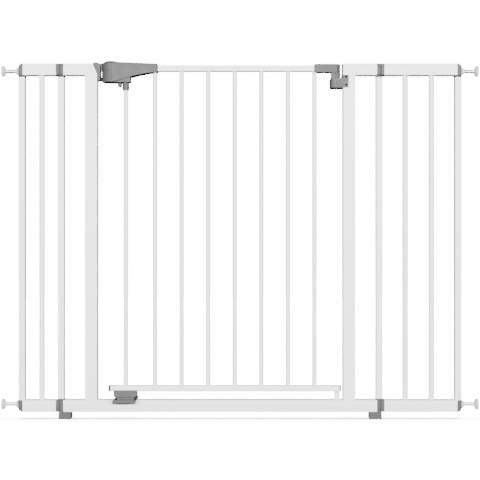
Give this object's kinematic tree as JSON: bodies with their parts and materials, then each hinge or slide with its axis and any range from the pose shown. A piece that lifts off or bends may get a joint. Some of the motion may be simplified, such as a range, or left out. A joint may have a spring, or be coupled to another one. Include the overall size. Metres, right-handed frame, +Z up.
{
  "type": "safety gate",
  "caption": "Pressure-fit safety gate with a two-way swinging barred door, a lift-up locking handle, side extensions and threaded wall pads.",
  "frame": {"origin": "on the floor under the middle of the whole gate", "axes": "+X from the latch side to the hinge side, +Y away from the front, +Z up"},
  "size_m": [1.024, 0.08, 0.7694],
  "materials": {
    "white_paint": "smooth satin powder coat",
    "grey_plastic": "fine-textured moulded plastic",
    "light_plastic": "smooth moulded plastic and pad rubber",
    "zinc_steel": "bright zinc plate"
  },
  "bodies": {
    "frame": {"bottom_rail": "white_paint", "left_pillar": "white_paint", "right_pillar": "white_paint", "left_top_rail": "white_paint", "right_top_rail": "white_paint", "left_upright": "white_paint", "right_upright": "white_paint", "left_upper_coupler": "grey_plastic", "right_upper_coupler": "grey_plastic", "left_foot_coupler": "grey_plastic", "right_foot_coupler": "grey_plastic", "strike_plate": "grey_plastic", "lower_catch": "grey_plastic", "hinge_housing": "grey_plastic", "hinge_spring": "zinc_steel", "left_extension_top_rail": "white_paint", "left_extension_bottom_rail": "white_paint", "left_extension_upright": "white_paint", "left_extension_bar": "white_paint", "right_extension_top_rail": "white_paint", "right_extension_bottom_rail": "white_paint", "right_extension_upright": "white_paint", "right_extension_bar_1": "white_paint", "right_extension_bar_2": "white_paint", "left_upper_end_cap": "grey_plastic", "left_lower_end_cap": "grey_plastic", "right_upper_end_cap": "grey_plastic", "right_lower_end_cap": "grey_plastic"},
    "door": {"door_top_rail": "white_paint", "door_bottom_rail": "white_paint", "door_bar_1": "white_paint", "door_bar_2": "white_paint", "door_bar_3": "white_paint", "door_bar_4": "white_paint", "door_bar_5": "white_paint", "door_bar_6": "white_paint", "door_bar_7": "white_paint", "door_latch_end_plug": "grey_plastic", "door_hinge_end_plug": "grey_plastic", "hinge_bracket": "grey_plastic", "upper_hinge_pin": "zinc_steel", "lower_hinge_pin": "zinc_steel", "handle_housing": "grey_plastic", "latch_guide": "grey_plastic", "lever_pivot_pin": "zinc_steel", "finger_button_spring": "zinc_steel"},
    "handle_lever": {"handle_lever": "grey_plastic", "lock_button_spring": "zinc_steel"},
    "lock_button": {"lock_button": "grey_plastic"},
    "finger_button": {"finger_button": "grey_plastic"},
    "lock_rod": {"lock_rod": "white_paint"},
    "tension_adjuster": {"tension_adjuster": "grey_plastic"},
    "upper_left_spindle": {"upper_left_spindle": "zinc_steel"},
    "upper_left_hand_nut": {"upper_left_hand_nut": "light_plastic"},
    "upper_right_spindle": {"upper_right_spindle": "zinc_steel"},
    "upper_right_hand_nut": {"upper_right_hand_nut": "light_plastic"},
    "lower_left_spindle": {"lower_left_spindle": "zinc_steel"},
    "lower_left_hand_nut": {"lower_left_hand_nut": "light_plastic"},
    "lower_right_spindle": {"lower_right_spindle": "zinc_steel"},
    "lower_right_hand_nut": {"lower_right_hand_nut": "light_plastic"}
  },
  "joints": [
    {"name": "door_swing", "type": "hinge", "parent": "frame", "child": "door", "pos_m": [0.2085, 0, 0.4], "axis": [0, 0, 1], "range_deg": [-90, 90], "stiffness_Nm_per_rad": 0.5},
    {"name": "lever_lift", "type": "hinge", "parent": "door", "child": "handle_lever", "pos_m": [-0.185, 0, 0.75225], "axis": [0, 1, 0], "range_deg": [0, 9], "stiffness_Nm_per_rad": 1, "springref_deg": -17.19},
    {"name": "rod_lift", "type": "slide", "parent": "door", "child": "lock_rod", "axis": [0, 0, 1], "range_m": [0, 0.0095]},
    {"name": "lock_button_press", "type": "slide", "parent": "handle_lever", "child": "lock_button", "axis": [0, 0, -1], "range_m": [0, 0.004], "stiffness_N_per_m": 300, "springref_m": -0.002, "deforming": ["lock_button_spring"]},
    {"name": "finger_button_press", "type": "slide", "parent": "door", "child": "finger_button", "axis": [0, 0, 1], "range_m": [0, 0.004], "stiffness_N_per_m": 300, "springref_m": -0.002, "deforming": ["finger_button_spring"]},
    {"name": "adjuster_turn", "type": "hinge", "parent": "frame", "child": "tension_adjuster", "pos_m": [0.2085, 0, 0.71], "axis": [0, 0, 1], "range_deg": [-180, 180]},
    {"name": "upper_left_nut_turn", "type": "hinge", "parent": "frame", "child": "upper_left_hand_nut", "pos_m": [-0.4745, 0, 0.7465], "axis": [-1, 0, 0], "range_deg": [-4320, 4320]},
    {"name": "upper_left_spindle_slide", "type": "slide", "parent": "frame", "child": "upper_left_spindle", "axis": [-1, 0, 0], "range_m": [-0.015, 0.015]},
    {"name": "upper_right_nut_turn", "type": "hinge", "parent": "frame", "child": "upper_right_hand_nut", "pos_m": [0.4745, 0, 0.7465], "axis": [1, 0, 0], "range_deg": [-4320, 4320]},
    {"name": "upper_right_spindle_slide", "type": "slide", "parent": "frame", "child": "upper_right_spindle", "axis": [1, 0, 0], "range_m": [-0.015, 0.015]},
    {"name": "lower_left_nut_turn", "type": "hinge", "parent": "frame", "child": "lower_left_hand_nut", "pos_m": [-0.4745, 0, 0.0315], "axis": [-1, 0, 0], "range_deg": [-4320, 4320]},
    {"name": "lower_left_spindle_slide", "type": "slide", "parent": "frame", "child": "lower_left_spindle", "axis": [-1, 0, 0], "range_m": [-0.015, 0.015]},
    {"name": "lower_right_nut_turn", "type": "hinge", "parent": "frame", "child": "lower_right_hand_nut", "pos_m": [0.4745, 0, 0.0315], "axis": [1, 0, 0], "range_deg": [-4320, 4320]},
    {"name": "lower_right_spindle_slide", "type": "slide", "parent": "frame", "child": "lower_right_spindle", "axis": [1, 0, 0], "range_m": [-0.015, 0.015]}
  ],
  "couplings": [
    {"joint": "rod_lift", "follows": "lever_lift", "m_per_rad": 0.0603},
    {"joint": "upper_left_nut_turn", "follows": "upper_left_spindle_slide", "rad_per_m": 5026.5},
    {"joint": "upper_right_nut_turn", "follows": "upper_right_spindle_slide", "rad_per_m": 5026.5},
    {"joint": "lower_left_nut_turn", "follows": "lower_left_spindle_slide", "rad_per_m": 5026.5},
    {"joint": "lower_right_nut_turn", "follows": "lower_right_spindle_slide", "rad_per_m": 5026.5}
  ]
}
